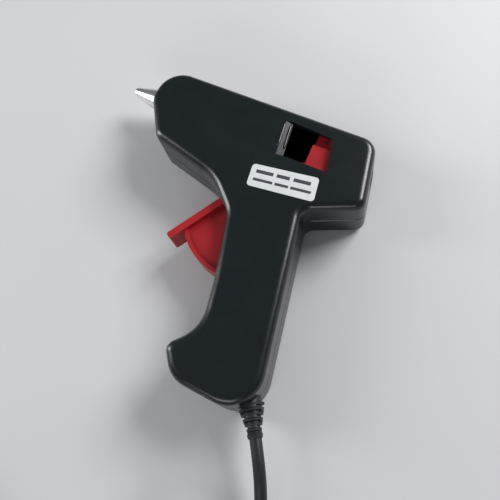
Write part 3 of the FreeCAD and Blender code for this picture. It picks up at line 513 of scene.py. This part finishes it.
# a tapered boot of rings, with bridges that change sides from groove to groove
def makeBoot():
    side = Vector((-exitWay.y, exitWay.x, 0))
    top = Vector((0, 0, 1))
    rings = bootRings()
    points = []
    for along, radius, bridge in rings:
        for i in range(boot["around"]):
            angle = 2 * math.pi * i / boot["around"]
            reach = radius
            if bridge is not None:
                facing = math.cos(angle) if bridge else math.sin(angle)
                if abs(facing) > boot["bridgeFrom"]:
                    reach = radius + boot["groove"] * boot["bridgeDeep"]
            reach = max(reach, boot["least"])
            outwards = side * math.cos(angle) + top * math.sin(angle)
            points.append(bootRoot + exitWay * along + outwards * reach)
    mesh = meshFrom("boot", points, gridFaces(len(rings), boot["around"]), False)
    mesh.materials.append(looks["boot"])
    piece = newObject("relief_boot", mesh)
    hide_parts("strain_relief")


makeBoot()
print("boot")

ridge = {
    "radius": 0.0008,
    "steps": 16,
    "taper": 3,  # rounded length at each end, in radii
    "leastEnd": 0.12,
    # start and end of each, in gun millimetres
    "lines": (
        ((83.6, 5.6, 26.55), (86.0, -7.6, 26.55)),
        ((86.4, 5.8, 25.85), (89.0, -7.8, 25.85)),
    ),
}


# two rounded ridges on the ramp in front of the window, side by side
def makeRidges():
    steps = ridge["steps"]
    shares = [0.5 - 0.5 * math.cos(math.pi * i / steps) for i in range(steps + 1)]
    for number, (first, last) in enumerate(ridge["lines"], start=1):
        start, end = gunPoint(*first), gunPoint(*last)
        half = (end - start).length / 2
        radii = []
        for share in shares:
            inset = half - abs(share - 0.5) * 2 * half
            near = min(1, inset / (ridge["taper"] * ridge["radius"]))
            rounding = max(ridge["leastEnd"], math.sqrt(1 - (1 - near) ** 2))
            radii.append(ridge["radius"] * rounding)
        path = [start.lerp(end, share) for share in shares]
        mesh = sweep(f"ridge_{number}", path, radii, Vector((0, 0, 1)))
        mesh.materials.append(looks["shell"])
        piece = newObject(f"window_ridge_{number}", mesh)


spring = {
    "seat": (94.4, -56.8, 13.5),  # against the trigger, gun millimetres
    "stop": (109.2, -56.8, 13.5),  # against the shells' rib
    "coilRadius": 0.0026,
    "wire": 0.0004,
    "turns": 9,
    "perTurn": 24,
    "keep": 0.577,  # share of its length left at full squeeze
}


# the return spring, with one closed turn at each end
def makeSpring():
    seat, stop = gunPoint(*spring["seat"]), gunPoint(*spring["stop"])
    wire, turns, perTurn = spring["wire"], spring["turns"], spring["perTurn"]
    openRun = (stop - seat).length - 6 * wire
    path = []
    for i in range(turns * perTurn + 1):
        turn = i / perTurn
        closed = min(turn, 1) + max(turn - (turns - 1), 0)
        middle = min(max(turn - 1, 0) / (turns - 2), 1)
        along = wire + closed * 2 * wire + middle * openRun
        angle = 2 * math.pi * turn
        ring = Vector((0, math.cos(angle), math.sin(angle))) * spring["coilRadius"]
        path.append(seat + Vector((along, 0, 0)) + ring)
    mesh = sweep("spring", path, [wire] * len(path), Vector((1, 0, 0)), 10)
    mesh.materials.append(looks["steel"])
    piece = newObject("trigger_spring", mesh)
    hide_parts("return_spring")
    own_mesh(piece)


makeRidges()
makeSpring()
print("ridges and spring")

floor = {
    "reach": 3.0,
    "level": -0.0002,
    "dark": (0.56, 0.56, 0.57),
    "light": (0.59, 0.59, 0.60),
    "rough": 0.7,
}


def makeFloor():
    reach, level = floor["reach"], floor["level"]
    corners = [(x * reach, y * reach, level) for x, y in ((-1, -1), (1, -1), (1, 1), (-1, 1))]
    mesh = bpy.data.meshes.new("floor")
    mesh.from_pydata(corners, [], [(0, 1, 2, 3)])
    piece = bpy.data.objects.new("floor", mesh)
    bpy.context.scene.collection.objects.link(piece)
    material, shader = newMaterial("pale_floor")
    pale = ramp(material, noise(material, 6, 3), (0.3, floor["dark"]), (0.7, floor["light"]))
    join(material, pale, shader.inputs["Base Color"])
    shader.inputs["Roughness"].default_value = floor["rough"]
    mesh.materials.append(material)


studio = {
    "sky": (0.86, 0.93, 1.0),
    "skyStrength": 0.17,
    # name, place, target, power, width, height
    "lights": (
        ("key", (0.34, 0.60, 0.50), (0.02, 0, 0), 7.6, 0.45, 0.35),
        ("front", (-0.75, -0.20, 0.36), (0, 0, 0), 4.6, 0.22, 0.60),
        ("low", (0.15, -0.80, 0.36), (0, 0, 0), 2.2, 0.60, 0.20),
    ),
}


def makeLight(name, place, target, power, width, height):
    data = bpy.data.lights.new(name, "AREA")
    data.shape = "RECTANGLE"
    data.size = width
    data.size_y = height
    data.energy = power
    light = bpy.data.objects.new(name, data)
    bpy.context.scene.collection.objects.link(light)
    aim = (Vector(target) - Vector(place)).to_track_quat("-Z", "Y")
    light.matrix_world = Matrix.Translation(place) @ aim.to_matrix().to_4x4()


def makeLights():
    world = bpy.data.worlds.new("studio")
    bpy.context.scene.world = world
    world.use_nodes = True
    background = world.node_tree.nodes["Background"]
    background.inputs["Color"].default_value = (*studio["sky"], 1)
    background.inputs["Strength"].default_value = studio["skyStrength"]
    for light in studio["lights"]:
        makeLight(*light)
    bpy.context.scene.view_settings.view_transform = "Standard"


makeFloor()
makeLights()
print("stage")
